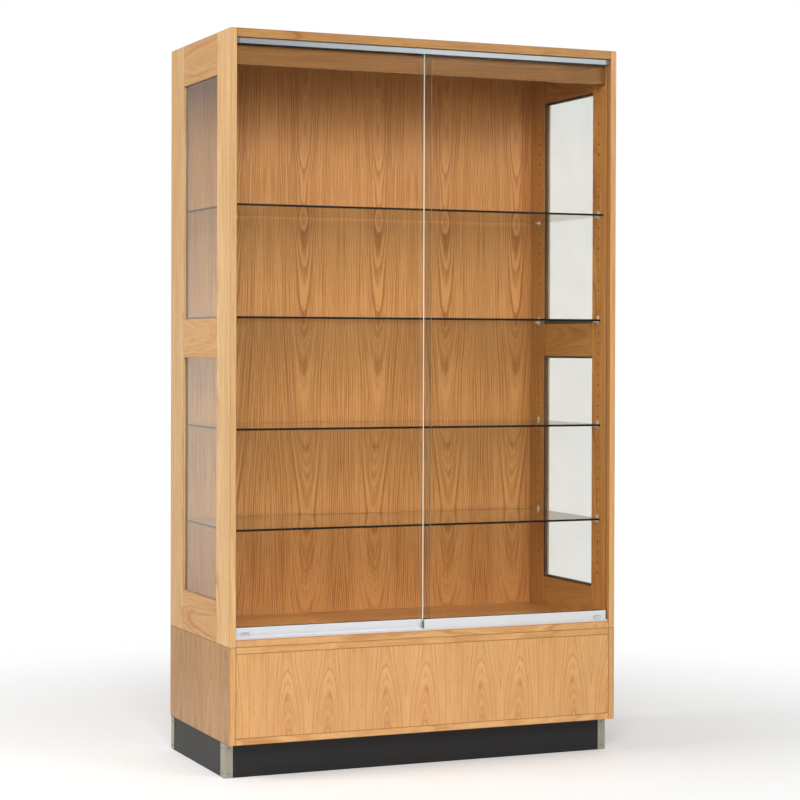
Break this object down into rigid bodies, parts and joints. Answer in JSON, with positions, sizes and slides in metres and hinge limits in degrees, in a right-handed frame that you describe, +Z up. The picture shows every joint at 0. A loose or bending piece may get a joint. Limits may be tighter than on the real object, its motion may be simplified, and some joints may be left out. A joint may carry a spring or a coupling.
{
  "type": "display case",
  "caption": "Free-standing oak display case with glazed sides, adjustable glass shelves and sliding glass doors above a closed base on a recessed toe kick.",
  "frame": {"origin": "on the floor, at the centre of the overall width and depth", "axes": "+X to the right seen from the front, +Y from the doors to the back, +Z up; the doors face -Y"},
  "size_m": [1.2192, 0.5588, 2.1082],
  "materials": {
    "solid_oak": "satin lacquered solid oak",
    "oak_veneer": "satin lacquered oak veneer",
    "front_veneer": "satin lacquered oak veneer, vertical cathedral grain",
    "back_veneer": "satin lacquered oak veneer, vertical cathedral grain",
    "hardboard": "plain hardboard",
    "side_glass": "polished clear glass",
    "door_glass": "polished clear glass, polished edges",
    "shelf_glass": "polished clear glass, polished edges",
    "aluminium": "satin anodised",
    "pull_metal": "satin anodised",
    "vinyl": "matt vinyl",
    "gasket": "matt black vinyl",
    "cap_plastic": "grey moulded plastic",
    "clear_plastic": "clear moulded plastic",
    "nylon": "natural nylon",
    "steel": "zinc plated",
    "black_toe": "matt black laminate",
    "guard_metal": "satin metal"
  },
  "bodies": {
    "case": {"back_panel": "back_veneer", "base_back_panel": "hardboard", "base_bottom_panel": "oak_veneer", "base_front_panel": "front_veneer", "base_left_side": "oak_veneer", "base_right_side": "oak_veneer", "base_top_panel": "oak_veneer", "bottom_front_edging": "solid_oak", "bottom_panel": "oak_veneer", "corner_guards": "guard_metal", "guard_screws": "steel", "joining_screws": "steel", "left_back_stile": "solid_oak", "left_bottom_rail": "solid_oak", "left_front_stile": "solid_oak", "left_glass_retainers": "vinyl", "left_lower_glass": "side_glass", "left_mid_rail": "solid_oak", "left_top_rail": "solid_oak", "left_upper_glass": "side_glass", "lower_track": "aluminium", "right_back_stile": "solid_oak", "right_bottom_rail": "solid_oak", "right_front_stile": "solid_oak", "right_glass_retainers": "vinyl", "right_lower_glass": "side_glass", "right_mid_rail": "solid_oak", "right_top_rail": "solid_oak", "right_upper_glass": "side_glass", "shelf_1": "shelf_glass", "shelf_2": "shelf_glass", "shelf_3": "shelf_glass", "shelf_4": "shelf_glass", "shelf_clips": "clear_plastic", "toe_back_board": "black_toe", "toe_front_board": "black_toe", "toe_side_boards": "black_toe", "top_front_rail": "solid_oak", "top_panel": "oak_veneer", "upper_track": "aluminium", "upper_track_end_caps": "cap_plastic", "valance": "solid_oak"},
    "left_door": {"left_door_axles": "steel", "left_door_end_caps": "cap_plastic", "left_door_gasket": "gasket", "left_door_glass": "door_glass", "left_door_pull": "pull_metal", "left_door_shoe": "aluminium"},
    "left_outer_wheel": {"left_door_outer_wheel": "nylon"},
    "left_inner_wheel": {"left_door_inner_wheel": "nylon"},
    "right_door": {"right_door_axles": "steel", "right_door_end_caps": "cap_plastic", "right_door_gasket": "gasket", "right_door_glass": "door_glass", "right_door_pull": "pull_metal", "right_door_shoe": "aluminium"},
    "right_outer_wheel": {"right_door_outer_wheel": "nylon"},
    "right_inner_wheel": {"right_door_inner_wheel": "nylon"}
  },
  "joints": [
    {"name": "left_door_slide", "type": "slide", "parent": "case", "child": "left_door", "axis": [1, 0, 0], "range_m": [0, 0.574]},
    {"name": "left_outer_wheel_spin", "type": "hinge", "parent": "left_door", "child": "left_outer_wheel", "pos_m": [-0.4936, -0.2509, 0.4093], "axis": [0, 1, 0], "range_deg": [0, 5483]},
    {"name": "left_inner_wheel_spin", "type": "hinge", "parent": "left_door", "child": "left_inner_wheel", "pos_m": [-0.081, -0.2509, 0.4093], "axis": [0, 1, 0], "range_deg": [0, 5483]},
    {"name": "right_door_slide", "type": "slide", "parent": "case", "child": "right_door", "axis": [-1, 0, 0], "range_m": [0, 0.574]},
    {"name": "right_outer_wheel_spin", "type": "hinge", "parent": "right_door", "child": "right_outer_wheel", "pos_m": [0.4936, -0.2639, 0.4093], "axis": [0, -1, 0], "range_deg": [0, 5483]},
    {"name": "right_inner_wheel_spin", "type": "hinge", "parent": "right_door", "child": "right_inner_wheel", "pos_m": [0.081, -0.2639, 0.4093], "axis": [0, -1, 0], "range_deg": [0, 5483]}
  ],
  "couplings": [
    {"joint": "left_outer_wheel_spin", "follows": "left_door_slide", "rad_per_m": 166.67},
    {"joint": "left_inner_wheel_spin", "follows": "left_door_slide", "rad_per_m": 166.67},
    {"joint": "right_outer_wheel_spin", "follows": "right_door_slide", "rad_per_m": 166.67},
    {"joint": "right_inner_wheel_spin", "follows": "right_door_slide", "rad_per_m": 166.67}
  ]
}
